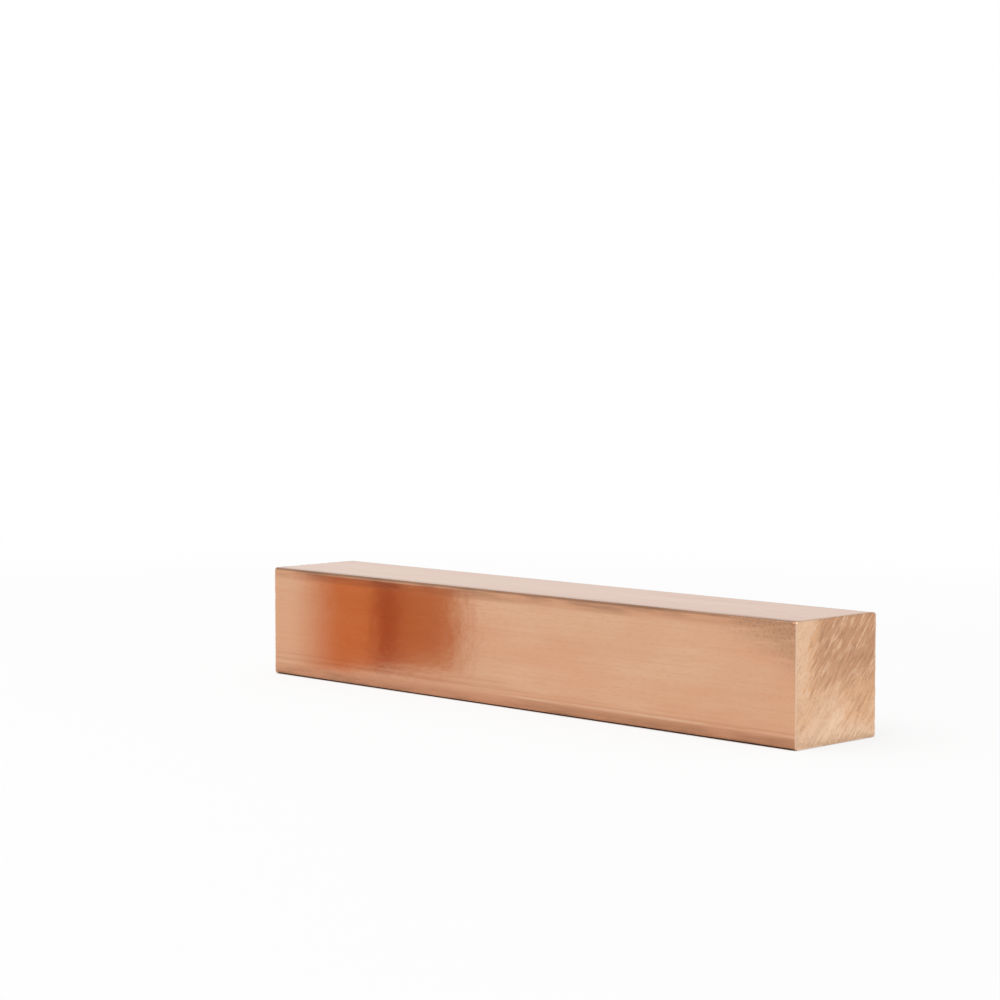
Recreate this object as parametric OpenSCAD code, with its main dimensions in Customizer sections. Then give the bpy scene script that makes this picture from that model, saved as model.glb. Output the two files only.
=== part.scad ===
// Copper ingot: one length of solid square copper bar.
// The bar is drawn through a die, which leaves four narrow rounded long edges.
// It is then sawn to length and deburred, so each end is flat with a fine chamfer.
// Millimetres. The origin is the middle of the underside, +X runs along the bar, +Z is up.

/* [Section] */
// Side of the square section
bar_side = 40; // [16:1:100]
// Radius of the long edges, as the drawing die leaves them
edge_radius = 1.2; // [0.6:0.1:4]

/* [Cut] */
// Length between the two sawn ends
bar_length = 250; // [80:5:1000]
// Width of the chamfer that deburring leaves round each sawn end
deburr = 0.4; // [0.1:0.05:0.5]

/* [Hidden] */
half_side = bar_side / 2;
half_length = bar_length / 2;
// Width of a long face between its two rounded edges
face_width = bar_side - 2 * edge_radius;
// Distance of a rounded edge's centre line from the bar's own, across and up
edge_centre = half_side - edge_radius;
copper_colour = [0.84, 0.66, 0.52];
$fn = 64;

// Half of a deburred bar's outline, seen from the side: from its middle line out to a given half width
function half_outline(half_width) = [
    [0, -half_length],
    [half_width - deburr, -half_length],
    [half_width, deburr - half_length],
    [half_width, half_length - deburr],
    [half_width - deburr, half_length],
    [0, half_length],
];

// Two opposite long faces, with the metal between them
module face_pair() {
    rotate([0, 90, 0])
        rotate([90, 0, 0])
            linear_extrude(height = face_width, center = true)
                for (side = [0, 1])
                    mirror([side, 0])
                        polygon(half_outline(half_side));
}

// One rounded long edge: a round rod with coned ends, so the chamfer follows the corner
module rounded_edge() {
    rotate([0, 90, 0])
        rotate_extrude()
            polygon(half_outline(edge_radius));
}

module copper_bar() {
    color(copper_colour)
        translate([0, 0, half_side])
            union() {
                face_pair();
                rotate([90, 0, 0]) face_pair();
                for (across = [-1, 1], up = [-1, 1])
                    translate([0, across * edge_centre, up * edge_centre])
                        rounded_edge();
            }
}

copper_bar();
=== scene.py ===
import math

import bpy
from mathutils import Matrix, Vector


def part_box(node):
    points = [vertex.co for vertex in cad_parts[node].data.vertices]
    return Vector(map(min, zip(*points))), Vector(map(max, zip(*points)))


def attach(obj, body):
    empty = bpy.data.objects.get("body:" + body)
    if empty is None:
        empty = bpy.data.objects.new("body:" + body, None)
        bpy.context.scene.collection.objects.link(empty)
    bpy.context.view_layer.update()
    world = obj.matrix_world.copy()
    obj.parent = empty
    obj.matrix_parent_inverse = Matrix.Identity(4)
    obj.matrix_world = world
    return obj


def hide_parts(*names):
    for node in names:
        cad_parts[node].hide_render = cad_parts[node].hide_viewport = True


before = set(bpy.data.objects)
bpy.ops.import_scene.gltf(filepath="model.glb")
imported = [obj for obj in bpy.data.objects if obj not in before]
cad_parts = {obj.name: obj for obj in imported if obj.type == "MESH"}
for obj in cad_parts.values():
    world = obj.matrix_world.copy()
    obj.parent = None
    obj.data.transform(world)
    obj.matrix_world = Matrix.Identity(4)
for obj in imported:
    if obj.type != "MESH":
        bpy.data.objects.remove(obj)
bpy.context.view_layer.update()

# The bar: one solid length of square copper, drawn cold through a die.
# The die leaves four flat faces and four narrow rounded edges; after sawing, the ends are deburred.
EDGE_RADIUS = 0.0012
EDGE_STEPS = 5
DEBURR = 0.0004
DEBURR_STEPS = 2
TOUCH = 0.00002

bar_low, bar_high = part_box("copper_bar")
bar_length, bar_height = (bar_high - bar_low).xz
bar_middle = (bar_low + bar_high) / 2
half_length = bar_length / 2
half_side = bar_height / 2
edge_centre = half_side - EDGE_RADIUS

bpy.ops.object.select_all(action="DESELECT")
bpy.ops.mesh.primitive_cube_add(size=1, location=bar_middle, scale=bar_high - bar_low)
bar = bpy.context.object
bar.name = "drawn_bar"
bpy.ops.object.transform_apply(location=True, rotation=True, scale=True)


def select_edges(wanted):
    """Leaves the bar in edit mode with only the edges selected whose two ends suit wanted."""
    bpy.ops.object.mode_set(mode="EDIT")
    bpy.ops.mesh.select_mode(type="EDGE")
    bpy.ops.mesh.select_all(action="DESELECT")
    bpy.ops.object.mode_set(mode="OBJECT")
    points = bar.data.vertices
    for edge in bar.data.edges:
        edge.select = wanted(*(points[i].co for i in edge.vertices))
    bpy.ops.object.mode_set(mode="EDIT")


def runs(axis, least, most):
    """Tells whether an edge runs along one axis, with its length between two limits."""
    def wanted(a, b):
        span = b - a
        sideways = span.length - abs(span[axis])
        return sideways < TOUCH and least < span.length < most
    return wanted


def at_sawn_end(a, b):
    """Tells whether an edge lies in one of the two sawn ends."""
    return min(a.x, b.x) > half_length - TOUCH or max(a.x, b.x) < TOUCH - half_length


select_edges(runs(0, bar_length - TOUCH, bar_length + TOUCH))
bpy.ops.mesh.bevel(offset=EDGE_RADIUS, offset_type="OFFSET", segments=EDGE_STEPS, affect="EDGES")
select_edges(at_sawn_end)
bpy.ops.mesh.bevel(offset=DEBURR, offset_type="OFFSET", segments=DEBURR_STEPS, affect="EDGES")

# Cuts through the bar: they split each face into the small squares that carry its relief.
# They are fine across the bar, where the die lines and saw marks are, and coarse along its middle.
HALF_FACE_CUTS = 74
END_ZONE = 0.030
END_ZONE_CUTS = 14
MIDDLE_CUTS = 31

cut_places = [((0, side * edge_centre, 0), (0, 1, 0)) for side in (-1, 0, 1)]
cut_places += [((0, 0, half_side + side * edge_centre), (0, 0, 1)) for side in (-1, 0, 1)]
cut_places += [((side * (half_length - END_ZONE), 0, 0), (1, 0, 0)) for side in (-1, 1)]
for place, direction in cut_places:
    bpy.ops.mesh.select_all(action="SELECT")
    bpy.ops.mesh.bisect(plane_co=place, plane_no=direction, threshold=TOUCH)
for axis in (1, 2):
    select_edges(runs(axis, edge_centre - DEBURR, edge_centre + DEBURR))
    bpy.ops.mesh.subdivide(number_cuts=HALF_FACE_CUTS)
select_edges(runs(0, END_ZONE / 2, END_ZONE * 2))
bpy.ops.mesh.subdivide(number_cuts=END_ZONE_CUTS)
select_edges(runs(0, bar_length / 2, bar_length))
bpy.ops.mesh.subdivide(number_cuts=MIDDLE_CUTS)
bpy.ops.object.mode_set(mode="OBJECT")

# Relief: the faces roll off towards their edges and carry die lines; the ends carry slanting saw marks.
# All of it is cut into the metal, so the bar keeps its size.
ROLL_OFF = 0.0040
ROLL_OFF_DEPTH = 0.00010
SAW_ANGLE = math.radians(47)
RELIEF_CONTRAST = 1.8
CRISP_EDGE = math.radians(35)


def weigh_points(name, weight):
    """A vertex group of the bar whose weights come from each point's place."""
    group = bar.vertex_groups.new(name=name)
    for point in bar.data.vertices:
        group.add([point.index], weight(point.co), "REPLACE")
    return group.name


def sink(name, group, depth, pattern=None, guide=None):
    """Lowers a group of the bar's points along their normals, all over or by a pattern."""
    bpy.ops.object.select_all(action="DESELECT")
    bar.select_set(True)
    bpy.context.view_layer.objects.active = bar
    relief = bar.modifiers.new(name, "DISPLACE")
    relief.vertex_group = group
    relief.direction = "NORMAL"
    relief.mid_level = 0.0
    relief.strength = -depth
    if pattern:
        relief.texture = pattern
        relief.texture_coords = "OBJECT"
        relief.texture_coords_object = guide
    bpy.ops.object.modifier_apply(modifier=name)


def sink_clouds(name, group, depth, grain, turn=0.0, detail=1):
    """Lowers a group of points by cloudy noise, whose grain is its size along the three axes."""
    bpy.ops.object.empty_add(location=(0, 0, half_side), rotation=(turn, 0, 0))
    guide = bpy.context.object
    guide.scale = grain
    bpy.context.view_layer.update()
    pattern = bpy.data.textures.new(name, "CLOUDS")
    pattern.noise_scale = 1.0
    pattern.noise_depth = detail
    pattern.contrast = RELIEF_CONTRAST
    pattern.use_clamp = True
    sink(name, group, depth, pattern, guide)
    bpy.data.objects.remove(guide)
    bpy.data.textures.remove(pattern)


def drawn_weight(point):
    """1 on the drawn faces and rounded edges, 0 on the sawn ends and their rims."""
    return float(abs(point.x) < half_length - DEBURR - TOUCH)


def sawn_weight(point):
    """1 on the flat of a sawn end, 0 elsewhere."""
    return float(abs(point.x) > half_length - TOUCH)


def rolled_weight(point):
    """0 on the flat of a drawn face, rising to 1 where its rounded edge starts."""
    from_edge = half_side - min(abs(point.y), abs(point.z - half_side))
    rise = (ROLL_OFF - from_edge) / (ROLL_OFF - EDGE_RADIUS)
    return drawn_weight(point) * max(0.0, min(1.0, rise))


def rim_weight(point):
    """1 on the deburred rim of a sawn end, falling to 0 just inside it."""
    inside = half_side - max(abs(point.y), abs(point.z - half_side))
    at_end = abs(point.x) > half_length - DEBURR - TOUCH
    return at_end * max(0.0, min(1.0, 2 - inside / DEBURR))


drawn_faces = weigh_points("drawn faces", drawn_weight)
sawn_ends = weigh_points("sawn ends", sawn_weight)
rolled_edges = weigh_points("rolled edges", rolled_weight)
sink("roll-off", rolled_edges, ROLL_OFF_DEPTH)
sink_clouds("die waves", drawn_faces, depth=0.00006, grain=(0.120, 0.012, 0.012))
sink_clouds("die lines", drawn_faces, depth=0.000008, grain=(0.200, 0.0009, 0.0009))
sink_clouds("saw wander", sawn_ends, depth=0.00012, grain=(0.01, 0.030, 0.012), turn=SAW_ANGLE)
sink_clouds("saw strokes", sawn_ends, depth=0.00013, grain=(0.01, 0.009, 0.0011), turn=SAW_ANGLE)
sink_clouds("saw teeth", sawn_ends, depth=0.00004, grain=(0.01, 0.006, 0.0006), turn=SAW_ANGLE)
sawn_rims = weigh_points("sawn rims", rim_weight)
sink_clouds("rim nicks", sawn_rims, depth=0.00016, grain=(0.01, 0.0022, 0.0022), detail=2)
bpy.ops.object.shade_smooth_by_angle(angle=CRISP_EDGE)

# Bare drawn copper: satin metal with fine lengthwise die lines and shallow dimples.
# It is browner in strips along the long edges, partly tarnish and partly painted shade, and a wider band of
# painted shade runs along the lower edges, where the floor's shade near the bar would show in reflection.
# It is stained and specked at the front's upper right corner. Each fade gives where a mark is absent and
# where it is full.
COPPER = (0.70, 0.403, 0.245, 1)
COPPER_PALE = (0.73, 0.433, 0.269, 1)
COPPER_PINK = (0.70, 0.365, 0.215, 1)
COPPER_WARM = (0.64, 0.33, 0.19, 1)
COPPER_STRIP = (0.60, 0.30, 0.175, 1)
COPPER_RUBBED = (0.80, 0.55, 0.39, 1)
STAIN = (0.50, 0.27, 0.16, 1)
TARNISH = (0.34, 0.17, 0.10, 1)
# Size along the bar, size across it and detail of each pattern in the metal
FACE_GRAINS = {
    "bands": (0.60, 0.0045, 2.0),
    "streaks": (0.016, 0.0007, 3.0),
    "lines": (0.35, 0.0005, 2.0),
    "clouds": (0.045, 0.016, 2.0),
    "blush": (0.075, 0.013, 3.0),
    "patches": (0.018, 0.0022, 4.0),
    "specks": (0.0012, 0.0010, 3.0),
    "scuffs": (0.40, 0.0010, 2.0),
    "dimples": (0.0065, 0.0060, 3.0),
    "flecks": (0.0030, 0.0008, 2.0),
}
# The pattern that each mark follows, and the fade of that pattern
FACE_MARKS = {
    "pale clouds": ("clouds", 0.35, 0.65),
    "pink blush": ("blush", 0.45, 0.65),
    "warm bands": ("bands", 0.45, 0.70),
    "warm streaks": ("streaks", 0.48, 0.70),
    "warm lines": ("lines", 0.45, 0.75),
    "warm flecks": ("flecks", 0.46, 0.72),
    "scuffs": ("scuffs", 0.44, 0.58),
    "brown clouds": ("clouds", 0.42, 0.60),
    "brown streaks": ("streaks", 0.25, 0.55),
    "crease clouds": ("clouds", 0.42, 0.62),
    "crease streaks": ("streaks", 0.35, 0.60),
    "edge patches": ("patches", 0.40, 0.66),
    "stain patches": ("patches", 0.22, 0.58),
    "stain specks": ("specks", 0.50, 0.68),
    "stray specks": ("specks", 0.68, 0.78),
}
LOW_FADE = (0.018, 0.012)
LOW_BAND_FADE = (0.0105, 0.0065)
LOW_BAND_WANDER = 0.016
SCUFF_SHARES = (0.15, 0.65)
STRIP_FADE = (0.0048, 0.0024)
STRIP_SHARES = (0.60, 0.85)
CREASE_PLACE = 0.0043
CREASE_FADE = (0.0006, 0.0001)
CREASE_SHARES = (0.10, 0.40)
TARNISH_FADE = (0.0042, 0.0006)
STAIN_LENGTH = 0.045
STAIN_DROP = 0.022
STAIN_FADE = (1.0, 0.25)
FRONT_FADE = (0.004, 0.001)
RUBBED_END_FADE = (0.0007, 0.0003)
RUBBED_SIDE_FADE = (0.0010, 0.0005)
LINE_BUMP = {"Strength": 0.15, "Distance": 0.00005}
DIMPLE_BUMP = {"Strength": 0.5, "Distance": 0.0002}
SATIN_ROUGHNESS = (0.16, 0.26)
STAIN_ROUGHER = 0.10
RUBBED_ROUGHER = 0.25
BRUSHING = 0.6


def add_node(tree, kind, inputs=None, **settings):
    """A shader node with its settings, whose inputs are set to values or linked from other outputs."""
    made = tree.nodes.new(kind)
    for name, value in settings.items():
        setattr(made, name, value)
    for key, value in (inputs or {}).items():
        if isinstance(value, bpy.types.NodeSocket):
            tree.links.new(value, made.inputs[key])
        else:
            made.inputs[key].default_value = value
    return made


def blank_material(name):
    """A material with an empty node tree."""
    material = bpy.data.materials.new(name)
    material.use_nodes = True
    material.node_tree.nodes.clear()
    return material


def stretched_noise(tree, coords, grain, detail, turn=0.0):
    """Noise from 0 to 1 whose grain is its size in metres along the three axes."""
    turned = add_node(tree, "ShaderNodeMapping", {"Vector": coords, "Rotation": (-turn, 0, 0)})
    sized = add_node(tree, "ShaderNodeMapping",
                     {"Vector": turned.outputs[0], "Scale": tuple(1 / size for size in grain)})
    return add_node(tree, "ShaderNodeTexNoise",
                    {"Vector": sized.outputs[0], "Scale": 1.0, "Detail": detail}).outputs["Fac"]


def ramp_between(tree, value, low, high):
    """0 at low, 1 at high, smooth between."""
    return add_node(tree, "ShaderNodeMapRange",
                    {"Value": value, "From Min": low, "From Max": high},
                    interpolation_type="SMOOTHSTEP").outputs["Result"]


def maths(tree, what, a, b=0.0):
    """One sum on two values."""
    return add_node(tree, "ShaderNodeMath", {0: a, 1: b}, operation=what).outputs[0]


def times(tree, *factors):
    """The product of all factors."""
    product = factors[0]
    for factor in factors[1:]:
        product = maths(tree, "MULTIPLY", product, factor)
    return product


def level_between(tree, share, low, high):
    """A level that is low where share is 0 and high where it is 1."""
    return maths(tree, "ADD", times(tree, share, high - low), low)


def wander_by(tree, pattern, reach):
    """A shift to either side, by up to half the reach, that follows a pattern."""
    return times(tree, maths(tree, "SUBTRACT", pattern, 0.5), reach)


def tint(tree, share, a, b):
    """Colour a where share is 0 and colour b where it is 1."""
    mixed = add_node(tree, "ShaderNodeMix", {"Factor": share, 6: a, 7: b}, data_type="RGBA")
    return mixed.outputs[2]


def lay_tones(tree, colour, tones):
    """Lays tones over a colour in turn, each as strong as the product of the shares beside it."""
    for tone, *shares in tones:
        colour = tint(tree, times(tree, *shares), colour, tone)
    return colour


drawn = blank_material("drawn copper")
tree = drawn.node_tree
coords = add_node(tree, "ShaderNodeTexCoord").outputs["Object"]
place = add_node(tree, "ShaderNodeSeparateXYZ", {0: coords})
across = maths(tree, "ABSOLUTE", place.outputs["Y"])
up = maths(tree, "ABSOLUTE", maths(tree, "SUBTRACT", place.outputs["Z"], half_side))
from_edge = maths(tree, "SUBTRACT", half_side, maths(tree, "MINIMUM", across, up))
from_side = maths(tree, "SUBTRACT", half_side, across)
from_end = maths(tree, "SUBTRACT", half_length, maths(tree, "ABSOLUTE", place.outputs["X"]))
from_right = maths(tree, "SUBTRACT", half_length, place.outputs["X"])
from_front = maths(tree, "ADD", half_side, place.outputs["Y"])
from_top = maths(tree, "SUBTRACT", bar_height, place.outputs["Z"])
low_edge = ramp_between(tree, place.outputs["Z"], *LOW_FADE)

face = {}
for name, (length, width, detail) in FACE_GRAINS.items():
    face[name] = stretched_noise(tree, coords, (length, width, width), detail)
mark = {}
for name, (pattern, start, full) in FACE_MARKS.items():
    mark[name] = ramp_between(tree, face[pattern], start, full)

# Painted shade: a ragged band along the lower edges, streaked by scuff lines, stands for the floor's shade
# in reflection.
ragged_edge = maths(tree, "ADD", from_edge, wander_by(tree, face["clouds"], LOW_BAND_WANDER))
scuffs_and_low_shade = times(tree, ramp_between(tree, ragged_edge, *LOW_BAND_FADE), low_edge,
                level_between(tree, mark["scuffs"], *SCUFF_SHARES))
# The strip along the long edges is partly tarnish and partly painted shade, stronger along the lower edges.
strip_zone = ramp_between(tree, from_edge, *STRIP_FADE)
edge_strip = times(tree, strip_zone, level_between(tree, low_edge, *STRIP_SHARES))
browned = times(tree, strip_zone, mark["brown clouds"], mark["brown streaks"])
from_crease = maths(tree, "ABSOLUTE", maths(tree, "SUBTRACT", from_edge, CREASE_PLACE))
crease = times(tree, ramp_between(tree, from_crease, *CREASE_FADE), mark["crease clouds"],
               mark["crease streaks"], level_between(tree, low_edge, *CREASE_SHARES))
edge_stain = times(tree, ramp_between(tree, from_edge, *TARNISH_FADE), mark["edge patches"])
from_corner = maths(tree, "ADD", times(tree, from_right, 1 / STAIN_LENGTH),
                    times(tree, from_top, 1 / STAIN_DROP))
stained = times(tree, ramp_between(tree, from_corner, *STAIN_FADE),
                ramp_between(tree, from_front, *FRONT_FADE))
rubbed = times(tree, ramp_between(tree, from_end, *RUBBED_END_FADE),
               ramp_between(tree, from_side, *RUBBED_SIDE_FADE))
colour = lay_tones(tree, COPPER, [
    (COPPER_PALE, mark["pale clouds"]),
    (COPPER_PINK, mark["pink blush"], 0.75),
    (COPPER_WARM, mark["warm bands"], 0.14),
    (COPPER_WARM, mark["warm streaks"], 0.20),
    (COPPER_WARM, mark["warm lines"], 0.34),
    (COPPER_WARM, mark["warm flecks"], 0.32),
    (COPPER_STRIP, scuffs_and_low_shade),
    (COPPER_STRIP, edge_strip),
    (TARNISH, browned, 0.40),
    (COPPER_RUBBED, crease),
    (TARNISH, edge_stain, 0.55),
    (STAIN, stained, mark["stain patches"], 0.85),
    (TARNISH, stained, mark["stain specks"], 0.60),
    (TARNISH, mark["stray specks"], 0.40),
    (COPPER_RUBBED, rubbed, 0.70),
])

height = maths(tree, "ADD", times(tree, face["streaks"], 0.5), times(tree, face["lines"], 0.5))
dimpled = add_node(tree, "ShaderNodeBump", {"Height": face["dimples"], **DIMPLE_BUMP})
lined = add_node(tree, "ShaderNodeBump", {"Height": height, "Normal": dimpled.outputs[0], **LINE_BUMP})
roughness = level_between(tree, face["lines"], *SATIN_ROUGHNESS)
roughness = maths(tree, "ADD", roughness, times(tree, stained, STAIN_ROUGHER))
roughness = maths(tree, "ADD", roughness, times(tree, rubbed, RUBBED_ROUGHER))
round_bar = add_node(tree, "ShaderNodeTangent", direction_type="RADIAL", axis="X").outputs[0]
shader = add_node(tree, "ShaderNodeBsdfPrincipled",
                  {"Base Color": colour, "Metallic": 1.0, "Roughness": roughness,
                   "Normal": lined.outputs[0], "Anisotropic": BRUSHING, "Tangent": round_bar})
add_node(tree, "ShaderNodeOutputMaterial", {"Surface": shader.outputs[0]})
bar.data.materials.append(drawn)

# Sawn copper: the fresh, matter metal of the two ends, ploughed by the saw's teeth.
# Its colour follows the strokes, with painted shade in their bottoms and painted highlights along their
# ridges, and it is paler where the blade rubbed; it also carries painted shade in its upper back part and
# painted light towards its bottom.
SAWN = (0.80, 0.47, 0.268, 1)
SAWN_CREAM = (0.85, 0.57, 0.38, 1)
SAWN_PALE = (0.95, 0.68, 0.48, 1)
SAWN_SHADE = (0.605, 0.325, 0.188, 1)
SAWN_DARK = (0.44, 0.23, 0.13, 1)
# Size through the metal, along the strokes and across them, and detail, of each pattern
SAWN_GRAINS = {
    "pale strokes": (0.01, 0.0062, 0.0010, 3.0),
    "dark strokes": (0.02, 0.0058, 0.0012, 3.0),
    "pits": (0.01, 0.0011, 0.0009, 3.0),
    "grain": (0.01, 0.0012, 0.0005, 2.0),
    "rubs": (0.01, 0.012, 0.005, 4.0),
}
# Fade of each pattern that marks the metal
SAWN_MARKS = {
    "pale strokes": (0.51, 0.68),
    "dark strokes": (0.50, 0.66),
    "pits": (0.60, 0.72),
    "grain": (0.48, 0.75),
}
RUB_WANDER = 0.02
SHADE_ACROSS = (-0.014, -0.004)
SHADE_UP = (0.012, 0.027)
CREAM_ACROSS = (-0.0130, -0.0148)
CREAM_UP = (0.004, 0.018)
RUB_PLACE = (0, -0.006, 0.009)
RUB_FADE = (0.011, 0.003)
LOW_LIGHT_FADE = (0.012, 0.003)
RUBBED_AND_LIT_SHARE = 0.6
GROOVE_SHADE_FADE = (0.00010, 0.00024)
DARK_SHARES = (0.34, 0.64)
RUBBED_RIM_FADE = (0.0008, 0.0003)
SAW_BUMP = {"Strength": 0.25, "Distance": 0.00015}
SAWN_ROUGHNESS = 0.36
SAWN_REACH = 0.00036

sawn = blank_material("sawn copper")
tree = sawn.node_tree
coords = add_node(tree, "ShaderNodeTexCoord").outputs["Object"]
place = add_node(tree, "ShaderNodeSeparateXYZ", {0: coords})
depth = maths(tree, "SUBTRACT", half_length, maths(tree, "ABSOLUTE", place.outputs["X"]))
from_side = maths(tree, "SUBTRACT", half_side, maths(tree, "ABSOLUTE", place.outputs["Y"]))

cut = {}
for name, (*size, detail) in SAWN_GRAINS.items():
    cut[name] = stretched_noise(tree, coords, size, detail, SAW_ANGLE)
mark = {}
for name, fade in SAWN_MARKS.items():
    mark[name] = ramp_between(tree, cut[name], *fade)

wander = wander_by(tree, cut["rubs"], RUB_WANDER)
ragged_y = maths(tree, "ADD", place.outputs["Y"], wander)
ragged_z = maths(tree, "ADD", place.outputs["Z"], wander)
# Painted shade: the upper back part of each end is painted darker, and its dark strokes are stronger there.
shade = times(tree, ramp_between(tree, ragged_y, *SHADE_ACROSS), ramp_between(tree, ragged_z, *SHADE_UP))
cream_band = times(tree, ramp_between(tree, ragged_y, *CREAM_ACROSS),
                   ramp_between(tree, ragged_z, *CREAM_UP))
flat_place = add_node(tree, "ShaderNodeCombineXYZ", {1: ragged_y, 2: ragged_z}).outputs[0]
from_rub = add_node(tree, "ShaderNodeVectorMath", {0: flat_place, 1: RUB_PLACE}, operation="DISTANCE")
rub = ramp_between(tree, from_rub.outputs["Value"], *RUB_FADE)
cream = maths(tree, "MAXIMUM", cream_band, rub)
# Painted light: each sawn end is painted paler towards its bottom, and fewer dark marks show there.
painted_low_light = ramp_between(tree, ragged_z, *LOW_LIGHT_FADE)
rubbed_and_lit = times(tree, maths(tree, "MAXIMUM", cream, painted_low_light), RUBBED_AND_LIT_SHARE)
plain = maths(tree, "SUBTRACT", 1.0, rubbed_and_lit)
# Painted shade in the bottoms of the saw strokes.
groove_shade = ramp_between(tree, depth, *GROOVE_SHADE_FADE)
dark_share = level_between(tree, shade, *DARK_SHARES)
rubbed_rim = ramp_between(tree, from_side, *RUBBED_RIM_FADE)
colour = lay_tones(tree, SAWN, [
    (SAWN_SHADE, shade, 0.95),
    (SAWN_CREAM, cream, 0.85),
    (SAWN_PALE, painted_low_light, 0.75),
    (SAWN_DARK, groove_shade, plain, 0.30),
    (SAWN_DARK, mark["dark strokes"], plain, dark_share),
    # Painted highlights: the pale strokes follow the ridges of the strokes' bump.
    (SAWN_CREAM, mark["pale strokes"], 0.72),
    (SAWN_DARK, mark["pits"], plain, 0.55),
    (SAWN_DARK, mark["grain"], 0.30),
    (COPPER_RUBBED, rubbed_rim, 0.70),
])

height = maths(tree, "ADD", cut["pale strokes"], times(tree, cut["grain"], 0.5))
ploughed = add_node(tree, "ShaderNodeBump", {"Height": height, **SAW_BUMP})
shader = add_node(tree, "ShaderNodeBsdfPrincipled",
                  {"Base Color": colour, "Metallic": 1.0, "Roughness": SAWN_ROUGHNESS,
                   "Normal": ploughed.outputs[0]})
add_node(tree, "ShaderNodeOutputMaterial", {"Surface": shader.outputs[0]})
bar.data.materials.append(sawn)

bpy.ops.object.mode_set(mode="EDIT")
bpy.ops.mesh.select_mode(type="FACE")
bpy.ops.mesh.select_all(action="DESELECT")
bpy.ops.object.mode_set(mode="OBJECT")
for polygon in bar.data.polygons:
    polygon.select = abs(polygon.center.x) > half_length - SAWN_REACH
bpy.ops.object.mode_set(mode="EDIT")
bar.active_material_index = 1
bpy.ops.object.material_slot_assign()
bpy.ops.object.mode_set(mode="OBJECT")
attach(bar, "root")
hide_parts("copper_bar")

# The studio: a wide white table that runs out to a white backdrop, in a room that is darker overhead.
# One large soft lamp hangs above and in front of the bar. Low warm slats by the bar's left end glow and
# show
# in its reflections alone: they are a painted warm reflection, and no lamp.
FLOOR_SIZE = 60.0
FLOOR_WHITE = (0.94, 0.94, 0.94, 1)
WHITE = (1, 1, 1, 1)
FLOOR_GLOW = 0.80
GLOW_FADE = (0.15, 0.60)
CONTACT_REACH = 0.002
REFLECTED_REACH = 0.020
CONTACT_SHADE = (0.30, 0.21, 0.15, 1)
CONTACT_LINE = 0.0003
CONTACT_INSET = (0.0015, 0.0007)
SLAT_NEAR = (0.75, 0.33, 0.155, 1)
SLAT_FAR = (0.63, 0.27, 0.125, 1)
SLAT_BAND = (0.47, 0.125, 0.050, 1)
SLATS = 60
SLAT_STEP = (0.001, -0.001, 0)
SLAT_DEPTH = 0.0021
FIRST_SLAT = (-0.130, -0.022)
SLAT_TONE_FADE = (0.025, 0.041)
BAND_FROM_BAR = 0.033
BAND_FADE = (0.0055, 0.0010)
NEAR_SLAT_FADE = (0.006, 0.022)
FAR_SLAT_FADE = (0.058, 0.048)
ROOM_OVERHEAD = (0.60, 0.60, 0.60, 1)
ROOM_FADE = (0.14, 0.50)
LAMP_SIZE = 1.0
LAMP_POWER = 6.0
LAMP_PLACE = (-0.15, -0.40, 1.10)

bpy.ops.object.select_all(action="DESELECT")
bpy.ops.mesh.primitive_plane_add(size=FLOOR_SIZE, location=(0, 0, 0))
floor = bpy.context.object
floor.name = "floor"
white_table = blank_material("white table")
tree = white_table.node_tree
glow = add_node(tree, "ShaderNodeEmission", {"Color": WHITE, "Strength": 1.0})
rays = add_node(tree, "ShaderNodeLightPath")
seen = maths(tree, "MAXIMUM", rays.outputs["Is Camera Ray"], rays.outputs["Is Glossy Ray"])
seen = maths(tree, "MAXIMUM", seen, rays.outputs["Is Transmission Ray"])
spot = add_node(tree, "ShaderNodeTexCoord").outputs["Object"]
outside = add_node(tree, "ShaderNodeVectorMath", {0: spot}, operation="ABSOLUTE").outputs[0]
contact = (half_length - CONTACT_INSET[0], half_side - CONTACT_INSET[1], 0)
outside = add_node(tree, "ShaderNodeVectorMath", {0: outside, 1: contact}, operation="SUBTRACT").outputs[0]
outside = add_node(tree, "ShaderNodeVectorMath", {0: outside, 1: (0, 0, 0)}, operation="MAXIMUM").outputs[0]
from_bar = add_node(tree, "ShaderNodeVectorMath", {0: outside}, operation="LENGTH").outputs["Value"]
glow_share = level_between(tree, ramp_between(tree, from_bar, *GLOW_FADE), FLOOR_GLOW, 1.0)
contact_reach = level_between(tree, rays.outputs["Is Glossy Ray"], CONTACT_REACH, REFLECTED_REACH)
glow_share = times(tree, seen, glow_share, ramp_between(tree, from_bar, 0.0, contact_reach))
# Painted shadow: a thin warm dark line on the table under the bar's edges stands for its contact shadow.
paper_and_contact_shadow = tint(tree, ramp_between(tree, from_bar, 0.0, CONTACT_LINE), CONTACT_SHADE, FLOOR_WHITE)
paint = add_node(tree, "ShaderNodeBsdfDiffuse", {"Color": paper_and_contact_shadow})
blend = add_node(tree, "ShaderNodeMixShader", {0: glow_share, 1: paint.outputs[0], 2: glow.outputs[0]})
add_node(tree, "ShaderNodeOutputMaterial", {"Surface": blend.outputs[0]})
floor.data.materials.append(white_table)

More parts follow.
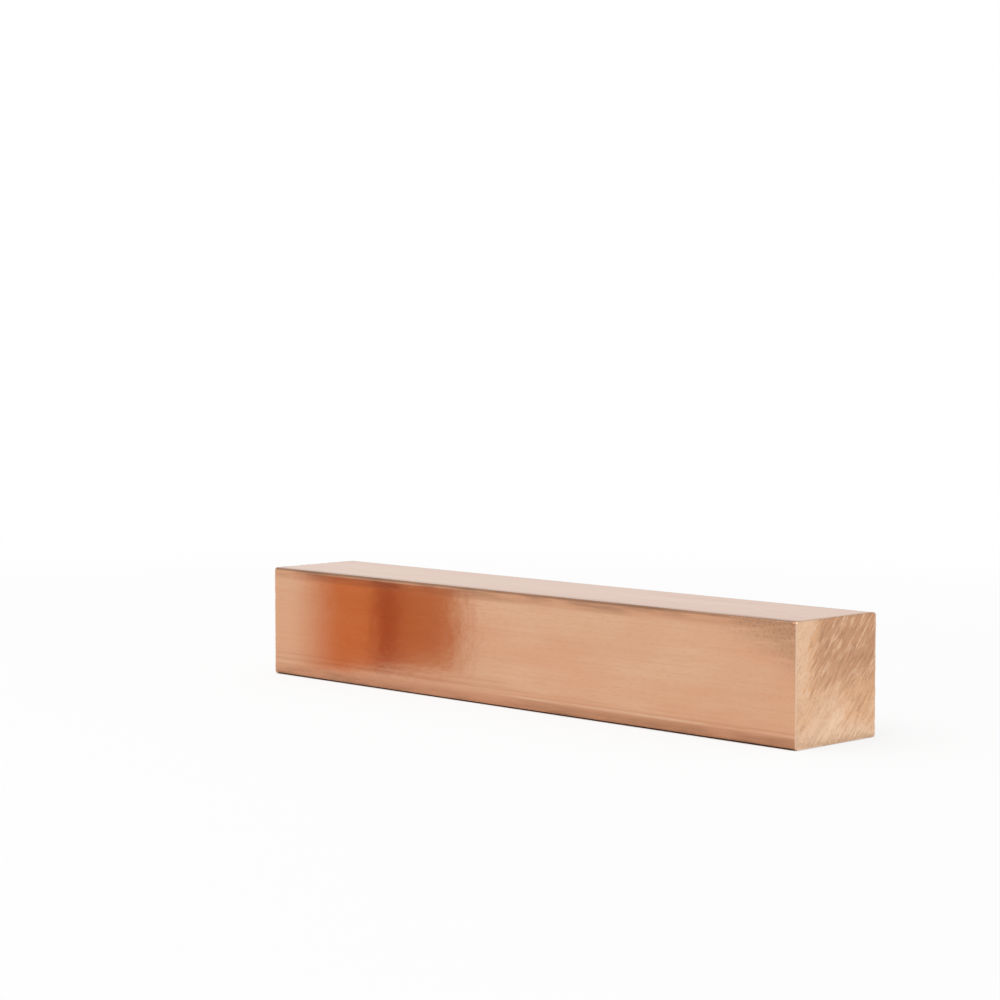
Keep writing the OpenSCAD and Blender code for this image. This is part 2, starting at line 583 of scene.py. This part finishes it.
bpy.ops.mesh.primitive_plane_add(size=1, location=(*FIRST_SLAT, half_side), rotation=(0, math.pi / 2, 0))
slats = bpy.context.object
slats.name = "warm_slats"
slats.scale = (bar_height, SLAT_DEPTH, 1)
bpy.ops.object.transform_apply(location=True, rotation=True, scale=True)
row = slats.modifiers.new("row", "ARRAY")
row.count = SLATS
row.use_relative_offset = False
row.use_constant_offset = True
row.constant_offset_displace = SLAT_STEP
bpy.ops.object.modifier_apply(modifier=row.name)
warm = blank_material("warm slats")
tree = warm.node_tree
coords = add_node(tree, "ShaderNodeTexCoord").outputs["Object"]
spot = add_node(tree, "ShaderNodeSeparateXYZ", {0: coords})
from_bar = maths(tree, "SUBTRACT", bar_low.y, spot.outputs["Y"])
from_band = maths(tree, "ABSOLUTE", maths(tree, "SUBTRACT", from_bar, BAND_FROM_BAR))
tone = lay_tones(tree, SLAT_NEAR, [
    (SLAT_FAR, ramp_between(tree, from_bar, *SLAT_TONE_FADE)),
    (SLAT_BAND, ramp_between(tree, from_band, *BAND_FADE)),
])
# The slats glow in warm tones with a darker band: a painted reflection on the bar's front near its left
# end.
glow = add_node(tree, "ShaderNodeEmission", {"Color": tone, "Strength": 1.0})
clear = add_node(tree, "ShaderNodeBsdfTransparent")
solid = times(tree, ramp_between(tree, from_bar, *NEAR_SLAT_FADE),
              ramp_between(tree, from_bar, *FAR_SLAT_FADE))
blend = add_node(tree, "ShaderNodeMixShader", {0: solid, 1: clear.outputs[0], 2: glow.outputs[0]})
add_node(tree, "ShaderNodeOutputMaterial", {"Surface": blend.outputs[0]})
slats.data.materials.append(warm)
slats.visible_camera = False
slats.visible_diffuse = False
slats.visible_shadow = False

world = bpy.data.worlds.new("studio")
bpy.context.scene.world = world
world.use_nodes = True
tree = world.node_tree
tree.nodes.clear()
direction = add_node(tree, "ShaderNodeTexCoord").outputs["Generated"]
upward = add_node(tree, "ShaderNodeSeparateXYZ", {0: direction}).outputs["Z"]
room = tint(tree, ramp_between(tree, upward, *ROOM_FADE), WHITE, ROOM_OVERHEAD)
backdrop = add_node(tree, "ShaderNodeBackground", {"Color": room, "Strength": 1.0})
add_node(tree, "ShaderNodeOutputWorld", {"Surface": backdrop.outputs[0]})

bpy.ops.object.light_add(type="AREA", location=LAMP_PLACE)
lamp = bpy.context.object
lamp.data.size = LAMP_SIZE
lamp.data.energy = LAMP_POWER
lamp.rotation_euler = (bar_middle - lamp.location).to_track_quat("-Z", "Y").to_euler()

# The camera: a long lens a little above the bar, looking along it from the right.
# Its place and turn come from the straight edges in the photograph.
CAMERA_PLACE = (0.6253, -0.6399, 0.1319)
CAMERA_TURN = math.radians(45.455)
CAMERA_DIP = math.radians(3.938)
CAMERA_LENS = 93.6
CAMERA_SENSOR = 36

bpy.ops.object.camera_add(location=CAMERA_PLACE, rotation=(math.pi / 2 - CAMERA_DIP, 0, CAMERA_TURN))
camera = bpy.context.object
camera.data.lens = CAMERA_LENS
camera.data.sensor_width = CAMERA_SENSOR
bpy.context.scene.camera = camera
bpy.context.scene.view_settings.view_transform = "Standard"
